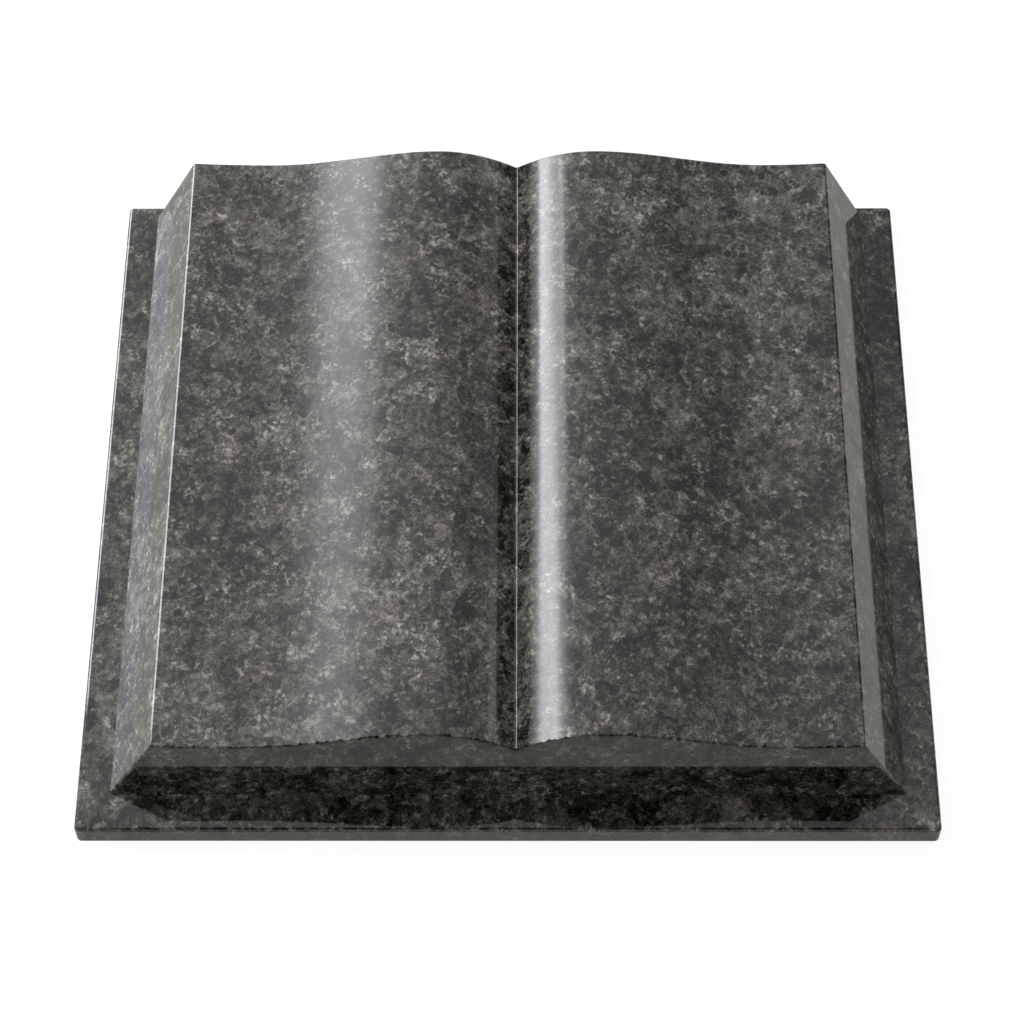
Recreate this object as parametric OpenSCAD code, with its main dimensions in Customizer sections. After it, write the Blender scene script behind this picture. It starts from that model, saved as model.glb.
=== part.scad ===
// Open-book headstone: a polished granite book block that lies on a thin base slab.
// Units are millimetres. X runs across the two pages, -Y is the tail of the pages, which
// faces the reader, and Z is up. The origin is the centre of the slab's underside.

/* [Base slab] */
// Width of the slab, across the two pages
slab_width = 650; // [520:5:900]
// Depth of the slab, from tail to head
slab_depth = 590; // [400:5:900]
// Thickness of the slab
slab_height = 20; // [8:1:80]
// Radius of the slab's four upright corners
slab_corner = 3; // [1:0.5:15]
// Width of the small bevel along the slab's top and bottom edges
slab_arris = 1; // [0.5:0.5:3]

/* [Book block] */
// Bare slab beside each fore edge
side_margin = 25; // [0:1:60]
// Bare slab in front of the tail end
tail_margin = 30; // [0:1:90]
// Bare slab behind the head end
head_margin = 10; // [0:1:90]
// Slope of the fore-edge faces, in degrees from upright
fore_edge_slope = 30; // [0:1:45]
// Backward lean of the parallel head and tail faces, in degrees from upright
end_lean = 7; // [0:0.5:20]
// Width of the small bevel along the top of each fore edge
book_arris = 1.5; // [0.5:0.5:4]

/* [Pages] */
// Height of the gutter above the slab
gutter_height = 57.5; // [30:0.5:70]
// Height of each page's crown above the slab
crown_height = 76.5; // [71:0.5:110]
// Height of each page's lowest line above the slab
dip_height = 60.5; // [40:0.5:70]
// Height of each page at its fore edge, above the slab
edge_height = 62.5; // [40:0.5:80]
// Distance of the gutter to the right of the book's centre line
gutter_shift = 6; // [-20:1:20]
// Distance from the gutter to each page's crown
crown_reach = 65; // [40:1:90]
// Distance from a page's lowest line to its fore edge, were the gutter in the middle
dip_inset = 60; // [30:1:80]
// Facets between the gutter and the crown
crown_steps = 14; // [6:1:40]
// Facets between the crown and the lowest line
flank_steps = 18; // [6:1:40]
// Facets between the lowest line and the fore edge
lip_steps = 6; // [2:1:20]

/* [Hidden] */

GRANITE = [0.27, 0.28, 0.27];
POLISHED_GRANITE = [0.33, 0.34, 0.33];
CORNER_FACETS = 48;
CUT_CLEARANCE = 1;

// The book's foot, where it beds on the slab
foot_width = slab_width - 2 * side_margin;
foot_tail = tail_margin - slab_depth / 2;
foot_head = slab_depth / 2 - head_margin;

// Half the width of the open pages, from the centre line to the top of a fore edge
page_half = foot_width / 2 - edge_height * tan(fore_edge_slope);

// Distance from the gutter to each page's lowest line
dip_reach = page_half - dip_inset;

// The end faces are cut to a height just over the crowns
cut_height = crown_height + CUT_CLEARANCE;
cut_lean = cut_height * tan(end_lean);

// Eases from 0 to 1, level at both ends
function ease(t) = t * t * (3 - 2 * t);

// Width of the lip beyond a page's lowest line: side is -1 for the left page, 1 for the right
function lip_width(side) = dip_inset - side * gutter_shift;

// Height of a page at a distance from the gutter: a round shoulder rises from the gutter to
// the crown, a long S falls from the crown to the lowest line, and a slight lip rises again
// to the fore edge
function page_height(reach, side) =
    reach < crown_reach
        ? crown_height - (crown_height - gutter_height) * pow(1 - reach / crown_reach, 2)
    : reach < dip_reach
        ? crown_height
            - (crown_height - dip_height)
            * ease((reach - crown_reach) / (dip_reach - crown_reach))
    : dip_height
        + (edge_height - dip_height) * pow((reach - dip_reach) / lip_width(side), 2);

// Distances from the gutter at which a page's outline has a point
function page_stations(side) = [
    for (i = [1 : crown_steps])
        crown_reach * i / crown_steps,
    for (i = [1 : flank_steps])
        crown_reach + (dip_reach - crown_reach) * i / flank_steps,
    for (i = [1 : lip_steps])
        dip_reach + (lip_width(side) - book_arris) * i / lip_steps
];

// A page's outline from the gutter outwards, down to the foot of its fore edge
function page_outline(side) = [
    for (reach = page_stations(side))
        [gutter_shift + side * reach, page_height(reach, side)],
    [side * (page_half + book_arris * sin(fore_edge_slope)),
     edge_height - book_arris * cos(fore_edge_slope)],
    [side * foot_width / 2, 0]
];

function reversed(list) = [for (i = [len(list) - 1 : -1 : 0]) list[i]];

// The book seen from its tail, as X and Z
function tail_outline() = concat(
    reversed(page_outline(-1)),
    [[gutter_shift, gutter_height]],
    page_outline(1)
);

// The book seen from its right fore edge, as Y and Z
function fore_edge_outline() = [
    [foot_tail, 0],
    [foot_head, 0],
    [foot_head + cut_lean, cut_height],
    [foot_tail + cut_lean, cut_height]
];

// A bar from -length / 2 to length / 2 along Y, bevelled along its four long edges
module bevelled_bar(width, length, height, arris) {
    half = width / 2;
    translate([0, length / 2, 0])
        rotate([90, 0, 0])
            linear_extrude(length)
                polygon([
                    [-half + arris, 0], [half - arris, 0],
                    [half, arris], [half, height - arris],
                    [half - arris, height], [-half + arris, height],
                    [-half, height - arris], [-half, arris]
                ]);
}

// A rectangle about the origin with round corners
module rounded_rectangle(width, depth, corner) {
    square([width - 2 * corner, depth], center = true);
    square([width, depth - 2 * corner], center = true);
    for (x = [-1, 1], y = [-1, 1])
        translate([x * (width / 2 - corner), y * (depth / 2 - corner)])
            circle(r = corner, $fn = CORNER_FACETS);
}

module base_slab() {
    color(GRANITE)
        intersection() {
            linear_extrude(slab_height)
                rounded_rectangle(slab_width, slab_depth, slab_corner);
            bevelled_bar(slab_width, slab_depth, slab_height, slab_arris);
            rotate([0, 0, 90])
                bevelled_bar(slab_depth, slab_width, slab_height, slab_arris);
        }
}

module open_book() {
    color(POLISHED_GRANITE)
        translate([0, 0, slab_height])
            intersection() {
                translate([0, foot_head + cut_lean, 0])
                    rotate([90, 0, 0])
                        linear_extrude(foot_head - foot_tail + cut_lean)
                            polygon(tail_outline());
                translate([-foot_width / 2, 0, 0])
                    rotate([90, 0, 90])
                        linear_extrude(foot_width)
                            polygon(fore_edge_outline());
            }
}

base_slab();
open_book();
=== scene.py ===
"""Looks for the open-book headstone: two polished granite pieces, on a pale studio floor.

The base slab and the book are built here as fine meshes with rounded arrises, and stand for
the two CAD nodes. Lengths are in metres, in the row frame: +X to the reader's right, -Y
towards the reader, +Z up.
"""

import math

import bpy
import numpy as np
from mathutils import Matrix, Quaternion, Vector


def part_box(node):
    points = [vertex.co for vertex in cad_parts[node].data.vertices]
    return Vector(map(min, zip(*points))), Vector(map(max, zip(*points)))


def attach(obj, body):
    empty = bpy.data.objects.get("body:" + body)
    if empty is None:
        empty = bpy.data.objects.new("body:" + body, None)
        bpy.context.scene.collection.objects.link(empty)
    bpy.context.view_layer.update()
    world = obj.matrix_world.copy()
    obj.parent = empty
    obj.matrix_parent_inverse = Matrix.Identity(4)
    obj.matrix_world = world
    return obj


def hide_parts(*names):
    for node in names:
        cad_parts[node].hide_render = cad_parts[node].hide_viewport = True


MM = 0.001

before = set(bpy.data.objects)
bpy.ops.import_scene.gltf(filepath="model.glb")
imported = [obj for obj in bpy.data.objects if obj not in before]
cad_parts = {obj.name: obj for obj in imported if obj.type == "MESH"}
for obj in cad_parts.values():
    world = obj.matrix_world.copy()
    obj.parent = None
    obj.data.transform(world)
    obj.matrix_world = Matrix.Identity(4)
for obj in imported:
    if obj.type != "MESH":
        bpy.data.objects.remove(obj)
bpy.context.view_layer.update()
slab_low, slab_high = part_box("base_slab")
book_low, book_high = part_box("open_book")

# ---------------------------------------------------------------- sizes of the stone

GUTTER_HEIGHT = 57.5 * MM
DIP_HEIGHT = 60.5 * MM
EDGE_HEIGHT = 62.5 * MM
CROWN_HEIGHT = book_high.z - book_low.z
GUTTER_X = 6 * MM
CROWN_REACH = 65 * MM
DIP_INSET = 60 * MM
# The left page's flank runs faster by this share next to its crown, and slower next to its
# lowest line. The CAD model's flank is even, and this differs from it by at most 0.4 mm.
LEFT_SKEW = 0.06
FORE_EDGE_SLOPE = math.radians(30)
END_LEAN = math.radians(7)

FOOT_HALF = book_high.x
FOOT_Z = book_low.z
FOOT_TAIL = book_low.y
FOOT_HEAD = book_high.y - CROWN_HEIGHT * math.tan(END_LEAN)
PAGE_HALF = FOOT_HALF - EDGE_HEIGHT * math.tan(FORE_EDGE_SLOPE)
DIP_REACH = PAGE_HALF - DIP_INSET

END_ARRIS = 1.6 * MM
FOOT_ARRIS = 0.5 * MM
END_FOOT_ARRIS = 0.35 * MM
FOOT_CORNER = 2.6 * MM
GUTTER_RADIUS = 2.5 * MM
SLAB_CORNER = 4 * MM

# The arrises of the ends are chipped: neighbouring points share their chips by CHIP_SPREAD, and
# the chips fade out within CHIP_FADE of the gutter and of the fore edges.
CHIP_SPREAD = (0.2, 0.6, 0.2)
CHIP_FADE = 5 * MM
TAIL_CHIPS, HEAD_CHIPS = 2.2, 0.2
CHIP_SEED = 7

# A worked arris is two narrow flats, given as (fall in degrees, width), and a small round.
PAGE_ARRIS = {"flats": [(28.5, 1.4 * MM), (50, 0.5 * MM)], "round": 0.4 * MM}
SLAB_ARRIS = {"flats": [(32, 1.2 * MM), (48, 1.1 * MM)], "round": 1.6 * MM}

# ---------------------------------------------------------------- how finely it is meshed

PAGE_STEPS = 200
GUTTER_STEPS = 10
FOOT_STEPS = 4
END_STEPS = 6
SLAB_CORNER_STEPS = 8
SPANS = 16

# Points along an arris: a short turn into each flat, the flat itself, and the round
TURN_STEPS = 3
TURN_LENGTH = 0.05 * MM
FLAT_STEPS = 3
ROUND_STEPS = 6
ARRIS_POINTS = 1 + len(PAGE_ARRIS["flats"]) * (TURN_STEPS + FLAT_STEPS) + ROUND_STEPS

# A page's own points start this far from the gutter, beside the gutter's fillet
PAGE_START = 2 * MM


# ---------------------------------------------------------------- mesh helpers

def smooth(t):
    """Eases from 0 to 1, level at both ends."""
    return t * t * (3 - 2 * t)


def round_off(before, corner, after, radius, steps):
    """Points of the arc that rounds off the corner between two straight runs of an outline."""
    to_before = (Vector(before) - Vector(corner)).normalized()
    to_after = (Vector(after) - Vector(corner)).normalized()
    half_angle = to_before.angle(to_after) / 2
    centre = Vector(corner) + (to_before + to_after).normalized() * (radius / math.sin(half_angle))
    start = Vector(corner) + to_before * (radius / math.tan(half_angle)) - centre
    end = Vector(corner) + to_after * (radius / math.tan(half_angle)) - centre
    sweep = start.angle_signed(end)
    turns = [sweep * i / steps for i in range(steps + 1)]
    return [tuple(centre + Vector((start.x * math.cos(a) + start.y * math.sin(a),
                                   start.y * math.cos(a) - start.x * math.sin(a)))) for a in turns]


def arris_offsets(arris, first_fall, last_fall):
    """An arris in section: (distance outwards, distance down) from where it starts.

    It leaves a surface that falls at first_fall degrees and meets one that falls at last_fall.
    """
    steps = []
    fall = first_fall
    for flat_fall, width in arris["flats"]:
        steps += [(fall + (flat_fall - fall) * i / (TURN_STEPS + 1), TURN_LENGTH)
                  for i in range(1, TURN_STEPS + 1)]
        steps += [(flat_fall, width / FLAT_STEPS)] * FLAT_STEPS
        fall = flat_fall
    arc = arris["round"] * math.radians(last_fall - fall) / ROUND_STEPS
    steps += [(fall + (last_fall - fall) * (i + 0.5) / ROUND_STEPS, arc)
              for i in range(ROUND_STEPS)]
    offsets = [(0.0, 0.0)]
    for angle, length in steps:
        out, down = offsets[-1]
        turn = math.radians(angle)
        offsets.append((out + length * math.cos(turn), down + length * math.sin(turn)))
    return offsets


def inward_normals(outline):
    """Unit normals that point into a closed clockwise outline, one for each point."""
    points = np.array(outline)
    along = np.roll(points, -1, axis=0) - np.roll(points, 1, axis=0)
    along /= np.linalg.norm(along, axis=1)[:, None]
    return np.stack([along[:, 1], -along[:, 0]], axis=1)


def add_mesh(name, points, faces):
    """A closed mesh whose normals weigh each face by its area, so flat faces stay flat."""
    mesh = bpy.data.meshes.new(name)
    mesh.from_pydata([tuple(p) for p in points], [], faces)
    mesh.validate()
    mesh.polygons.foreach_set("use_smooth", [True] * len(mesh.polygons))
    normals = np.zeros((len(mesh.vertices), 3))
    for face in mesh.polygons:
        for corner in face.vertices:
            normals[corner] += np.array(face.normal) * face.area
    normals /= np.linalg.norm(normals, axis=1)[:, None]
    mesh.normals_split_custom_set_from_vertices(normals.tolist())
    obj = bpy.data.objects.new(name, mesh)
    bpy.context.scene.collection.objects.link(obj)
    return obj


def ring_faces(rings, size):
    """Quads between each ring of points and the next."""
    faces = []
    for ring in range(rings - 1):
        for i in range(size):
            j = (i + 1) % size
            a, b = ring * size, (ring + 1) * size
            faces.append((a + i, a + j, b + j, b + i))
    return faces


def end_caps(rings, size):
    """One flat face that closes the first ring, and one that closes the last."""
    last = (rings - 1) * size
    return [tuple(range(size))[::-1], tuple(range(last, last + size))]


# ---------------------------------------------------------------- the open book

def page_height(reach, side):
    """Height of a page above the slab at a distance from the gutter.

    It is the CAD model's, apart from the skew of the left page's flank.
    """
    if reach < CROWN_REACH:
        return CROWN_HEIGHT - (CROWN_HEIGHT - GUTTER_HEIGHT) * (1 - reach / CROWN_REACH) ** 2
    if reach < DIP_REACH:
        along = (reach - CROWN_REACH) / (DIP_REACH - CROWN_REACH)
        if side < 0:
            along += LEFT_SKEW * along * (1 - along)
        fall = smooth(along)
        return CROWN_HEIGHT - (CROWN_HEIGHT - DIP_HEIGHT) * fall
    lip = DIP_INSET - side * GUTTER_X
    return DIP_HEIGHT + (EDGE_HEIGHT - DIP_HEIGHT) * ((reach - DIP_REACH) / lip) ** 2


def page_points(side):
    """A page's outline from beside the gutter's fillet, over its arris, to its fore edge."""
    rise = math.atan(2 * (EDGE_HEIGHT - DIP_HEIGHT) / (DIP_INSET - side * GUTTER_X))
    arris = arris_offsets(PAGE_ARRIS, -math.degrees(rise), 90 - math.degrees(FORE_EDGE_SLOPE))
    out, down = arris[-1]
    # where the arris has to start on the page for its end to lie in the fore-edge face
    start = PAGE_HALF - (out - (down - out * rise) * math.tan(FORE_EDGE_SLOPE))
    first, last = PAGE_START, start - side * GUTTER_X
    reaches = [first + (last - first) * i / PAGE_STEPS for i in range(PAGE_STEPS + 1)]
    page = [(GUTTER_X + side * r, page_height(r, side)) for r in reaches]
    x, z = page[-1]
    return page + [(x + side * across, z - fall) for across, fall in arris[1:]]


def book_outline():
    """The book seen from its tail, clockwise from its left foot, in four runs.

    The runs are the left foot, the pages, the right foot, and the underside, which has one
    point straight under each point of the pages.
    """
    left, right = page_points(-1)[::-1], page_points(1)
    feet = [(-FOOT_HALF, 0.0), (FOOT_HALF, 0.0)]
    gutter = round_off(left[-1], (GUTTER_X, GUTTER_HEIGHT), right[0], GUTTER_RADIUS,
                       GUTTER_STEPS)
    pages = left + gutter + right
    left_foot = round_off(feet[1], feet[0], left[0], FOOT_ARRIS, FOOT_STEPS)
    right_foot = round_off(right[-1], feet[1], feet[0], FOOT_ARRIS, FOOT_STEPS)
    return left_foot, pages, right_foot, [(x, 0.0) for x, z in pages[::-1]]


def book_cap(left_foot, pages, right_foot, underside):
    """Faces that close the outline, as upright strips from the pages down to the underside."""
    first, last = len(left_foot), len(left_foot) + len(pages) - 1
    total = last + 1 + len(right_foot) + len(underside)
    faces = [(i, i + 1, total - 1 - (i + 1 - first), total - 1 - (i - first))
             for i in range(first, last)]
    faces.append(tuple(range(first + 1)) + (total - 1,))
    faces.append(tuple(range(last, last + len(right_foot) + 2)))
    return faces


def end_arris(runs, random, chip_depth):
    """Width of the arris round an end face: a bit chipped on the pages, fine at the underside."""
    left_foot, pages, right_foot, underside = runs
    chips = np.convolve(random.random(len(pages)), CHIP_SPREAD, mode="same") - 0.5
    across = np.array(pages)[:, 0]
    clear = np.minimum(PAGE_HALF - np.abs(across), np.abs(across - GUTTER_X)) / CHIP_FADE
    return np.concatenate([
        np.full(len(left_foot), FOOT_CORNER),
        END_ARRIS * (1 + chip_depth * chips * np.clip(clear, 0, 1)),
        np.full(len(right_foot), FOOT_CORNER),
        np.full(len(underside), END_FOOT_ARRIS)])


def end_directions(runs):
    """How each point of the outline moves when every side of it moves inwards by one.

    The arrises and the feet move as they are, so that their small rounds never fold over.
    """
    outline = np.array([point for run in runs for point in run])
    directions = inward_normals(outline)
    slope = math.tan(FORE_EDGE_SLOPE)
    first, size = len(runs[0]), len(runs[1])
    last = first + size
    for side, foot, arris in ((1, range(first), range(first, first + ARRIS_POINTS)),
                              (-1, range(last, last + len(runs[2])),
                               range(last - ARRIS_POINTS, last))):
        for i in foot:
            directions[i] = (side / math.cos(FORE_EDGE_SLOPE), 0)
        for i in arris:
            directions[i] = (side * (1 / math.cos(FORE_EDGE_SLOPE) - slope), -1)
    return outline, directions


def book_mesh():
    """The block: its outline swept from tail to head, with rounded arrises at both ends."""
    runs = book_outline()
    flat, inward = end_directions(runs)
    size = len(flat)
    turns = [math.pi / 2 * i / END_STEPS for i in range(END_STEPS + 1)]
    lean = math.tan(END_LEAN)
    random = np.random.default_rng(CHIP_SEED)
    ends = []
    for end, inwards, chip_depth in ((FOOT_TAIL, 1, TAIL_CHIPS), (FOOT_HEAD, -1, HEAD_CHIPS)):
        rings = []
        radius = end_arris(runs, random, chip_depth)
        for turn in turns:
            at = flat + inward * (radius * (1 - math.sin(turn)))[:, None]
            y = end + lean * at[:, 1] + inwards * radius * (1 - math.cos(turn))
            rings.append(np.stack([at[:, 0], y, at[:, 1] + FOOT_Z], axis=1))
        ends.append(rings)
    tail, head = ends[0], ends[1][::-1]
    middle = [tail[-1] + (head[0] - tail[-1]) * i / SPANS for i in range(1, SPANS)]
    rings = tail + middle + head
    cap = book_cap(*runs)
    shift = size * (len(rings) - 1)
    faces = ring_faces(len(rings), size)
    faces += [face[::-1] for face in cap]
    faces += [tuple(i + shift for i in face) for face in cap]
    return np.concatenate(rings), faces


# ---------------------------------------------------------------- the base slab

def slab_outline():
    """The slab seen from above, clockwise, with round corners."""
    w, d = slab_high.x, slab_high.y
    corners = [(-w, -d), (-w, d), (w, d), (w, -d)]
    outline = []
    for i, corner in enumerate(corners):
        outline += round_off(corners[i - 1], corner, corners[(i + 1) % 4], SLAB_CORNER,
                             SLAB_CORNER_STEPS)
    return outline


def slab_mesh():
    """The slab: its plan stacked from the underside up, with worked arrises."""
    outline = slab_outline()
    flat = np.array(outline)
    inward = inward_normals(outline)
    arris = arris_offsets(SLAB_ARRIS, 0, 90)
    reach = arris[-1][0]
    low, high = slab_low.z, slab_high.z
    levels = [(reach - out, low + down) for out, down in arris]
    levels += [(reach - out, high - down) for out, down in arris[::-1]]
    rings = []
    for inset, z in levels:
        at = flat + inward * inset
        rings.append(np.column_stack([at, np.full(len(at), z)]))
    size = len(outline)
    return np.concatenate(rings), ring_faces(len(rings), size) + end_caps(len(rings), size)


# ---------------------------------------------------------------- material

class Nodes:
    """Short calls for adding shader nodes and joining them up."""

    def __init__(self, material_tree):
        """Starts from an empty node tree."""
        self.tree = material_tree
        material_tree.nodes.clear()

    def add(self, kind, inputs=None, **settings):
        """A node with its settings made and its inputs linked or set."""
        node = self.tree.nodes.new(kind)
        for key, value in settings.items():
            setattr(node, key, value)
        for key, value in (inputs or {}).items():
            if isinstance(value, bpy.types.NodeSocket):
                self.tree.links.new(value, node.inputs[key])
            else:
                node.inputs[key].default_value = value
        return node

    def math(self, operation, a, b=0.0, c=0.0, clamp=False):
        """The result of a sum on single values."""
        node = self.add("ShaderNodeMath", {0: a, 1: b, 2: c}, operation=operation,
                        use_clamp=clamp)
        return node.outputs[0]

    def vector(self, operation, a, b, c=(0, 0, 0)):
        """The result of a sum on vectors."""
        node = self.add("ShaderNodeVectorMath", {0: a, 1: b, 2: c}, operation=operation)
        return node.outputs[0]

    def noise(self, where, scale, detail=2.0, rough=0.5, warp=0.0, out="Fac"):
        """Smooth noise, as a value from 0 to 1 or as a colour."""
        node = self.add("ShaderNodeTexNoise", {
            "Vector": where, "Scale": scale, "Detail": detail, "Roughness": rough,
            "Distortion": warp})
        return node.outputs[out]

    def ramp(self, value, low, high):
        """Rises from 0 to 1 as value goes from low to high, level at both ends."""
        node = self.add("ShaderNodeMapRange", {
            "Value": value, "From Min": low, "From Max": high}, interpolation_type="SMOOTHSTEP")
        return node.outputs["Result"]

    def bend(self, where, scale, reach):
        """Shifts places by noise, so that straight cell walls turn into crystal outlines."""
        field = self.noise(where, scale, 3.0, 0.65, out="Color")
        middle = self.vector("SUBTRACT", field, (0.5, 0.5, 0.5))
        return self.vector("MULTIPLY_ADD", middle, (reach, reach, reach), where)

    def cells(self, where, scale, feature="F1"):
        """Cells round scattered points, each with a colour of its own."""
        return self.add("ShaderNodeTexVoronoi", {"Vector": where, "Scale": scale},
                        feature=feature)

    def parts(self, colour):
        """The red, green and blue of a colour, which stand for three separate values."""
        return self.add("ShaderNodeSeparateColor", {0: colour}).outputs

    def mix(self, share, a, b):
        """A colour between a and b: share 0 is a, and share 1 is b."""
        node = self.add("ShaderNodeMix", {}, data_type="RGBA")
        for key, value in ((0, share), (6, a), (7, b)):
            if isinstance(value, bpy.types.NodeSocket):
                self.tree.links.new(value, node.inputs[key])
            else:
                node.inputs[key].default_value = value
        return node.outputs[2]


# The stone's tones are summed as square roots of its albedo, which is near how the eye reads
# them. Each entry of TONES is how far one kind of crystal or grain moves the sum.
BOOK_ROOT, SLAB_ROOT = 0.172, 0.157
LEAST_ROOT = 0.03
TONES = {"large": 0.11, "middle": 0.105, "small": 0.125, "clouds": 0.29, "grain": 0.74,
         "soft": 0.34}
VEIN, RIDGE, FLECK, HATCH = 0.12, 0.10, 0.10, 0.18
RIM, CORE = 0.06, -0.08

# The polish
ROUGHNESS, IOR = 0.06, 1.42

# Tints, and the ranges of the sum, of a crystal's own value and of a noise that bring them in
OLIVE = (1.06, 1.11, 0.58, 1)
PALE = (1.02, 1.01, 0.85, 1)
PINKISH = (1.10, 0.99, 0.81, 1)
OLIVE_TO_PALE = (0.07, 0.30)
PINK_CRYSTALS, PINK_CRYSTAL_SHARE = (0.9, 1.7), 0.5
PINK_PATCHES = (0.52, 0.67)

# How often each feature comes in a metre, and how far the bends move it, in metres. The pattern
# is a little longer from tail to head than across. The hatching is turned, in radians, and the
# three sizes of HATCH_LINE, in metres, set how its lines stretch.
CRYSTAL_SCALE = (1.06, 0.94, 1.0)
LARGE_CELLS, MIDDLE_CELLS, SMALL_CELLS, ROUND_CELLS = 54.0, 150.0, 400.0, 60.0
BEND, FINE_BEND, ROUND_BEND = (90.0, 0.014), (320.0, 0.0035), (150.0, 0.006)
CLOUD_NOISE, GRAIN_NOISE, SOFT_NOISE = (15.0, 3.0, 0.6), (950.0, 2.0, 1.0), (110.0, 3.0, 0.7)
HATCH_TURN, HATCH_LINE = 0.75, (0.016, 0.0011, 0.003)


def crystal_tones(n, place, mean_root):
    """The crystals and grains, added up as root albedo, and the tints of the crystals."""
    bent = n.bend(place, *BEND)
    bent_fine = n.bend(place, *FINE_BEND)
    large, large_tint, kind = n.parts(n.cells(bent, LARGE_CELLS).outputs["Color"])[:3]
    middle, middle_tint = n.parts(n.cells(bent_fine, MIDDLE_CELLS).outputs["Color"])[:2]
    small = n.parts(n.cells(bent_fine, SMALL_CELLS).outputs["Color"])[0]
    layers = {"large": large, "middle": middle, "small": small,
              "clouds": n.noise(place, *CLOUD_NOISE), "grain": n.noise(place, *GRAIN_NOISE),
              "soft": n.noise(bent_fine, *SOFT_NOISE)}
    total = mean_root - 0.5 * sum(TONES.values())
    for layer, value in layers.items():
        total = n.math("MULTIPLY_ADD", value, TONES[layer], total)
    # pale veins along some of the large crystals' walls
    walls = n.cells(bent, LARGE_CELLS, "DISTANCE_TO_EDGE").outputs["Distance"]
    broken = n.ramp(n.noise(place, 90.0, 2.0, 0.6), 0.50, 0.60)
    total = n.math("MULTIPLY_ADD", n.math("MULTIPLY", n.ramp(walls, 0.055, 0.0), broken), VEIN,
                   total)
    # bright flecks where the small crystals are palest, more in some places than in others
    rich = n.ramp(n.noise(place, 55.0, 2.0), 0.42, 0.72)
    fleck = n.ramp(n.math("MULTIPLY_ADD", rich, 0.45, small), 1.02, 1.22)
    total = n.math("MULTIPLY_ADD", fleck, FLECK, total)
    return total, n.math("ADD", large_tint, middle_tint), kind


def add_ridges(n, place, total):
    """Fine pale lines that wander through the stone, where a noise crosses its middle."""
    field = n.noise(place, 62.0, 3.0, 0.55, 0.8)
    ridge = n.ramp(n.math("ABSOLUTE", n.math("SUBTRACT", field, 0.5)), 0.016, 0.0)
    there = n.ramp(n.noise(place, 34.0, 1.0), 0.5, 0.62)
    return n.math("MULTIPLY_ADD", n.math("MULTIPLY", ridge, there), RIDGE, total)


def add_round_crystals(n, place, total):
    """Dark round crystals with pale rims, in about a third of the cells."""
    ball = n.cells(n.bend(place, *ROUND_BEND), ROUND_CELLS)
    reach = ball.outputs["Distance"]
    there = n.ramp(n.parts(ball.outputs["Color"])[2], 0.62, 0.66)
    rim = n.math("MULTIPLY", n.ramp(reach, 0.16, 0.24), n.ramp(reach, 0.34, 0.24))
    total = n.math("MULTIPLY_ADD", n.math("MULTIPLY", rim, there), RIM, total)
    core = n.math("MULTIPLY", n.ramp(reach, 0.24, 0.14), there)
    return n.math("MULTIPLY_ADD", core, CORE, total)


def add_hatching(n, place, kind, total):
    """Fine parallel lines in some of the large crystals."""
    turned = n.add("ShaderNodeMapping", {
        "Vector": place, "Rotation": (0, 0, HATCH_TURN), "Scale": HATCH_LINE},
        vector_type="TEXTURE").outputs[0]
    lines = n.math("SUBTRACT", n.noise(turned, 1.0, 1.0), 0.5)
    there = n.ramp(kind, 0.6, 0.8)
    return n.math("MULTIPLY_ADD", n.math("MULTIPLY", lines, there), HATCH, total)


def granite(name, offset, mean_root):
    """Polished dark grey granite: black ground, clouds of pale crystals, fine pale veins."""
    material = bpy.data.materials.new(name)
    material.use_nodes = True
    n = Nodes(material.node_tree)
    place = n.add("ShaderNodeTexCoord").outputs["Object"]
    place = n.add("ShaderNodeMapping", {
        "Vector": place, "Location": offset, "Scale": CRYSTAL_SCALE}).outputs[0]
    total, tint, kind = crystal_tones(n, place, mean_root)
    total = add_ridges(n, place, total)
    total = add_round_crystals(n, place, total)
    total = add_hatching(n, place, kind, total)
    total = n.math("MAXIMUM", total, LEAST_ROOT)
    albedo = n.math("MULTIPLY", total, total)
    hue = n.mix(n.ramp(total, *OLIVE_TO_PALE), OLIVE, PALE)
    pink_crystal = n.math("MULTIPLY", n.ramp(tint, *PINK_CRYSTALS), PINK_CRYSTAL_SHARE)
    hue = n.mix(pink_crystal, hue, PINKISH)
    hue = n.mix(n.ramp(n.noise(place, 24.0, 2.0), *PINK_PATCHES), hue, PINKISH)
    colour = n.add("ShaderNodeVectorMath", {0: hue, 3: albedo}, operation="SCALE").outputs[0]
    shader = n.add("ShaderNodeBsdfPrincipled", {
        "Base Color": colour, "Roughness": ROUGHNESS, "IOR": IOR})
    n.add("ShaderNodeOutputMaterial", {"Surface": shader.outputs[0]})
    return material


# ---------------------------------------------------------------- build the two pieces

def build(name, node, mesh_data, material):
    """Adds a piece that stands for a CAD node, with the given material, and hides the node."""
    piece = add_mesh(name, *mesh_data)
    piece.data.materials.append(material)
    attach(piece, "root")
    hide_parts(node)
    return piece


# Each piece is cut from its own place in the stone
SLAB_PLACE, BOOK_PLACE = (3.1, 1.7, 0.4), (0.0, 0.0, 0.0)
build("slab", "base_slab", slab_mesh(),
      granite("slab_granite", SLAB_PLACE, SLAB_ROOT))
build("book", "open_book", book_mesh(),
      granite("book_granite", BOOK_PLACE, BOOK_ROOT))


# ---------------------------------------------------------------- studio

def quad(name, corners, material):
    """A flat staged card with four corners."""
    mesh = bpy.data.meshes.new(name)
    mesh.from_pydata(corners, [], [(0, 1, 2, 3)])
    card = bpy.data.objects.new(name, mesh)
    bpy.context.scene.collection.objects.link(card)
    card.data.materials.append(material)
    return card


COOL = (0.98, 0.995, 1.035, 1)
COLD = (0.97, 0.99, 1.12, 1)
WARM = (1.0, 0.99, 0.94, 1)

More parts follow.
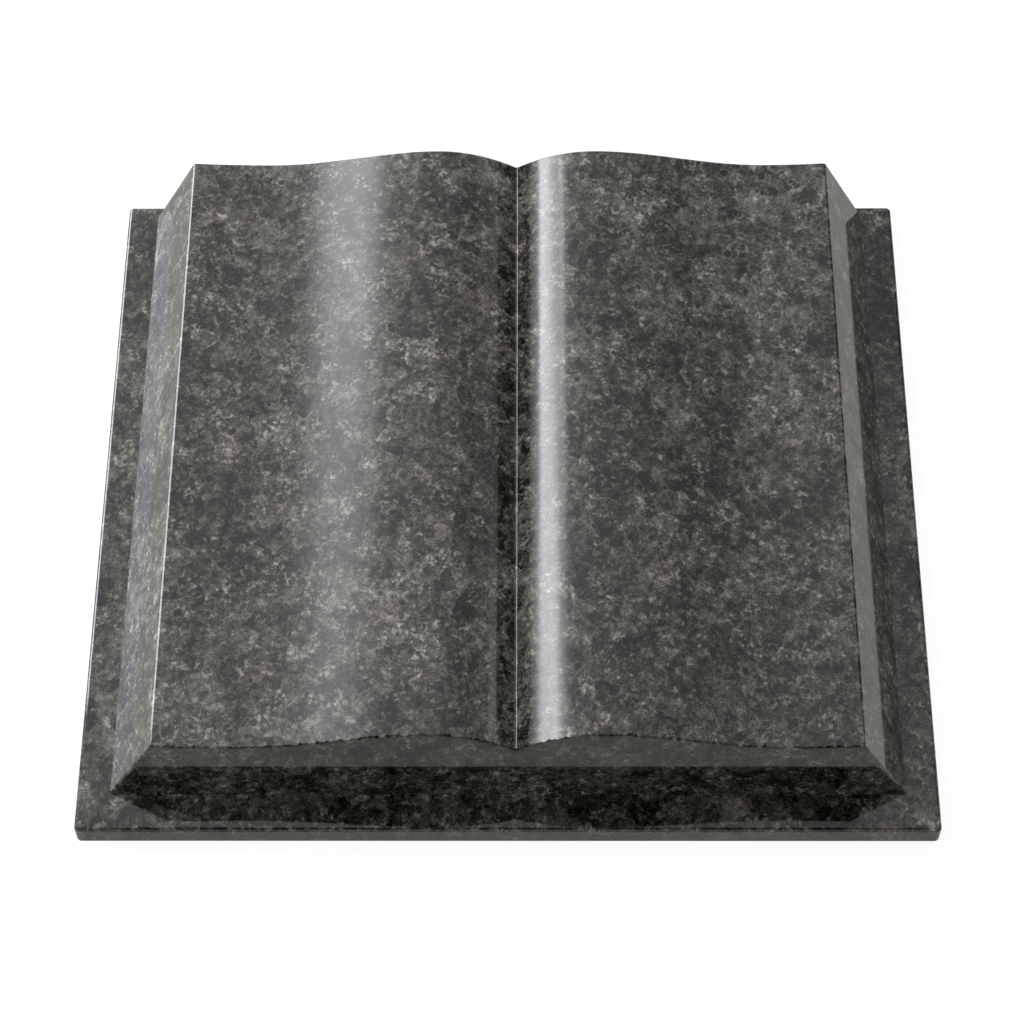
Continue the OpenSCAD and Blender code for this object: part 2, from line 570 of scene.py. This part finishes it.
FLOOR_SIZE = 12.0
FLOOR_COLOUR = (0.13, 0.13, 0.13, 1)
FLOOR_SEEN, FLOOR_MIRRORED = 0.91, 0.69
WORLD_LIGHT, WORLD_SEEN_MORE = 0.35, 0.65


def floor_material():
    """White to the camera and in reflections, and the object's shadow stays on it."""
    material = bpy.data.materials.new("floor_white")
    material.use_nodes = True
    n = Nodes(material.node_tree)
    path = n.add("ShaderNodeLightPath")
    seen = n.math("ADD", path.outputs["Is Camera Ray"], path.outputs["Is Transmission Ray"], True)
    polish = path.outputs["Is Glossy Ray"]
    diffuse = n.add("ShaderNodeBsdfDiffuse", {"Color": FLOOR_COLOUR})
    white = n.add("ShaderNodeEmission", {"Strength": n.math("MULTIPLY", seen, FLOOR_SEEN)})
    warm = n.add("ShaderNodeEmission", {
        "Color": WARM, "Strength": n.math("MULTIPLY", polish, FLOOR_MIRRORED)})
    both = n.add("ShaderNodeAddShader", {0: diffuse.outputs[0], 1: white.outputs[0]})
    both = n.add("ShaderNodeAddShader", {0: both.outputs[0], 1: warm.outputs[0]})
    n.add("ShaderNodeOutputMaterial", {"Surface": both.outputs[0]})
    return material


def glow_ramp(n, share, stops):
    """Brightness along a card, from (share of its length, radiance) pairs."""
    peak = max(level for at, level in stops)
    ramp = n.add("ShaderNodeValToRGB", {"Fac": share})
    elements = ramp.color_ramp.elements
    while len(elements) < len(stops):
        elements.new(0.5)
    for element, (at, level) in zip(elements, stops):
        element.position = at
        element.color = (level / peak, level / peak, level / peak, 1)
    return n.math("MULTIPLY", ramp.outputs["Color"], peak)


def softbox_material(name, near_stops, far_stops, tint=COOL):
    """Emission along a card's length that changes from one profile to another across it."""
    material = bpy.data.materials.new(name)
    material.use_nodes = True
    n = Nodes(material.node_tree)
    place = n.add("ShaderNodeTexCoord").outputs["Generated"]
    along, across = n.add("ShaderNodeSeparateXYZ", {0: place}).outputs[:2]
    near, far = glow_ramp(n, along, near_stops), glow_ramp(n, along, far_stops)
    blend = n.add("ShaderNodeMix", {0: n.ramp(across, 0.0, 1.0), 2: near, 3: far},
                  data_type="FLOAT").outputs[0]
    glow = n.add("ShaderNodeEmission", {"Color": tint, "Strength": blend})
    n.add("ShaderNodeOutputMaterial", {"Surface": glow.outputs[0]})
    return material


quad("floor", [(-FLOOR_SIZE, -FLOOR_SIZE, 0), (FLOOR_SIZE, -FLOOR_SIZE, 0),
               (FLOOR_SIZE, FLOOR_SIZE, 0), (-FLOOR_SIZE, FLOOR_SIZE, 0)], floor_material())

# The key light is a wide overhead softbox. Its radiance is given against the tangent of the
# angle from straight up, positive to the left, for its near and its far edge. Many of the stops
# were taken from a scratch script's fit to the photo's reflections, and then changed by hand.
KEY_HEIGHT = 2.4
KEY_EDGE_Y, KEY_NEAR_Y, KEY_FAR_Y, KEY_END_Y = 0.86, 1.1, 2.6, 3.6
KEY_RIGHT, KEY_LEFT = -0.6, 1.3
KEY_NEAR = [(KEY_RIGHT, 0.7), (-0.46, 0.9), (-0.3, 1.15), (-0.15, 1.3), (0.0, 1.5), (0.14, 1.7),
            (0.25, 1.75), (0.34, 1.85), (0.38, 2.1), (0.42, 2.6), (0.44, 3.0), (0.46, 3.7),
            (0.48, 4.7), (0.50, 5.1), (0.547, 7.2), (0.593, 11), (0.641, 14.6), (0.70, 15.4),
            (0.80, 13.8), (0.92, 12.8), (0.96, 11.5), (1.0, 8.8), (1.037, 6.6), (1.1, 3.7),
            (1.18, 1.8), (KEY_LEFT, 0.5)]
KEY_FAR = [(KEY_RIGHT, 0.6), (-0.46, 0.7), (-0.3, 0.95), (-0.15, 1.1), (0.0, 1.25), (0.14, 1.4),
           (0.25, 1.7), (0.34, 2.0), (0.38, 2.5), (0.40, 3.2), (0.42, 4.4), (0.44, 6.1),
           (0.46, 8.1), (0.48, 9.6), (0.51, 9.0), (0.55, 8.3), (0.60, 8.7), (0.65, 10.0),
           (0.69, 12.0), (0.74, 14.6), (0.80, 15.8), (0.86, 17.2), (0.90, 16.2), (0.94, 11.6),
           (0.972, 7.0), (1.0, 4.3), (1.05, 3.4), (1.18, 1.5), (KEY_LEFT, 0.5)]


def along_key(profile):
    """The profile's stops as shares of the softbox's width, from its left edge."""
    return [((KEY_LEFT - t) / (KEY_LEFT - KEY_RIGHT), level) for t, level in profile][::-1]


def upright(x, y_range, z_range):
    """Corners of an upright card that faces the stone from one side."""
    (y0, y1), (z0, z1) = y_range, z_range
    return [(x, y0, z0), (x, y1, z0), (x, y1, z1), (x, y0, z1)]


def level(x_range, y_range, z):
    """Corners of a level card."""
    (x0, x1), (y0, y1) = x_range, y_range
    return [(x0, y0, z), (x1, y0, z), (x1, y1, z), (x0, y1, z)]


def even(name, radiance, tint=COOL):
    """Emission of one radiance all over."""
    stops = [(0.0, radiance), (1.0, radiance)]
    return softbox_material(name, stops, stops, tint)


def card(name, corners, material, polish=True, body=True):
    """A card that no camera sees, and that lights the stone's polish, its body, or both."""
    piece = quad(name, corners, material)
    piece.visible_camera = False
    piece.visible_shadow = False
    piece.visible_glossy = polish
    piece.visible_diffuse = body


KEY_WIDTH = (-KEY_LEFT * KEY_HEIGHT, -KEY_RIGHT * KEY_HEIGHT)
near, far = along_key(KEY_NEAR), along_key(KEY_FAR)
card("key_softbox", level(KEY_WIDTH, (KEY_NEAR_Y, KEY_FAR_Y), KEY_HEIGHT),
     softbox_material("key_glow", near, far))
card("key_near_end", level(KEY_WIDTH, (KEY_EDGE_Y, KEY_NEAR_Y), KEY_HEIGHT),
     softbox_material("key_near_glow", near, near))
card("key_far_end", level(KEY_WIDTH, (KEY_FAR_Y, KEY_END_Y), KEY_HEIGHT),
     softbox_material("key_far_glow", far, far))

# The other cards light either the polish or the stone's body. The left side's polish cards
# stand further off than its body card, so that the pages don't mirror them in a view from the
# right. The dark flags hide the white world from the polish.
POLISH = {"body": False}
BODY = {"polish": False}
LEFT_Y, RIGHT_Y, SIDE_Y = (-0.8, 1.4), (-1.2, 2.0), (0.75, 2.1)
LEFT_X, LEFT_FLAG_X, SIDE_X = -0.96, -0.97, -2.0
RIGHT_STRIP_X, RIGHT_X, RIGHT_BODY_X = 1.09, 1.1, 1.11
FRONT_X, FRONT_Y = (-3.0, 3.0), (-4.0, KEY_EDGE_Y)
LEFT_Z, RIGHT_Z = (0.02, 0.60), (0.02, 1.1)

# Name, material, corners, radiance, tint, and what the card lights
EVEN_CARDS = [
    ("side_polish", "side_polish_glow", upright(SIDE_X, SIDE_Y, (0.80, 1.45)), 14.0, COLD, POLISH),
    ("side_low_polish", "side_low_glow", upright(SIDE_X, SIDE_Y, (0.36, 0.62)), 14.0, COLD, POLISH),
    ("side_body", "side_body_glow", upright(LEFT_X, LEFT_Y, LEFT_Z), 5.2, COOL, BODY),
    ("fill_polish", "fill_polish_glow", upright(RIGHT_X, RIGHT_Y, RIGHT_Z), 0.1, COOL, POLISH),
    ("fill_body", "fill_body_glow", upright(RIGHT_BODY_X, RIGHT_Y, RIGHT_Z), 1.2, COOL, BODY),
    ("front_flag", "front_flag_dark", level(FRONT_X, FRONT_Y, KEY_HEIGHT), 0.02, COOL, POLISH),
    ("left_flag", "left_flag_dark", upright(LEFT_FLAG_X, RIGHT_Y, (0.60, 0.85)), 0.02, COOL, POLISH),
    ("low_strip", "low_strip_glow", upright(RIGHT_STRIP_X, RIGHT_Y, (0.53, 0.69)), 1.7, COOL, POLISH),
]
for name, glow, corners, radiance, tint, lights in EVEN_CARDS:
    card(name, corners, even(glow, radiance, tint), **lights)

# A strip that fades away from the reader, for the gutter's left wall to mirror
GUTTER_STRIP_NEAR, GUTTER_STRIP_FAR = 2.2, 0.8
card("gutter_strip", level((0.82, 1.0), (0.35, 0.95), 0.98),
     softbox_material("gutter_strip_glow",
                      [(0.0, GUTTER_STRIP_NEAR), (1.0, GUTTER_STRIP_NEAR)],
                      [(0.0, GUTTER_STRIP_FAR), (1.0, GUTTER_STRIP_FAR)]),
     **POLISH)


def make_world():
    """White to the camera and in reflections, and a weaker even light on the stone's body."""
    world = bpy.data.worlds.new("studio")
    bpy.context.scene.world = world
    world.use_nodes = True
    n = Nodes(world.node_tree)
    path = n.add("ShaderNodeLightPath")
    seen = n.math("ADD", path.outputs["Is Camera Ray"], path.outputs["Is Glossy Ray"], True)
    seen = n.math("ADD", seen, path.outputs["Is Transmission Ray"], True)
    strength = n.math("ADD", n.math("MULTIPLY", seen, WORLD_SEEN_MORE), WORLD_LIGHT)
    glow = n.add("ShaderNodeBackground", {"Color": (1, 1, 1, 1), "Strength": strength})
    n.add("ShaderNodeOutputWorld", {"Surface": glow.outputs[0]})


make_world()

# ---------------------------------------------------------------- camera

# The camera looks at AIM from DISTANCE away, down by ELEVATION
AIM = Vector((0.0028, -0.0323, 0.05))
DISTANCE = 2.315
ELEVATION = math.radians(57.76)
AZIMUTH = math.radians(-0.503)
ROLL = math.radians(-0.433)
LENS, SENSOR = 103.45, 36

camera_data = bpy.data.cameras.new("camera")
camera_data.lens = LENS
camera_data.sensor_width = SENSOR
camera = bpy.data.objects.new("camera", camera_data)
bpy.context.scene.collection.objects.link(camera)
forward = Vector((math.sin(AZIMUTH) * math.cos(ELEVATION),
                  math.cos(AZIMUTH) * math.cos(ELEVATION),
                  -math.sin(ELEVATION)))
camera.location = AIM - forward * DISTANCE
camera.rotation_mode = "QUATERNION"
camera.rotation_quaternion = forward.to_track_quat("-Z", "Y") @ Quaternion((0, 0, 1), ROLL)
bpy.context.scene.camera = camera
bpy.context.scene.view_settings.view_transform = "Standard"
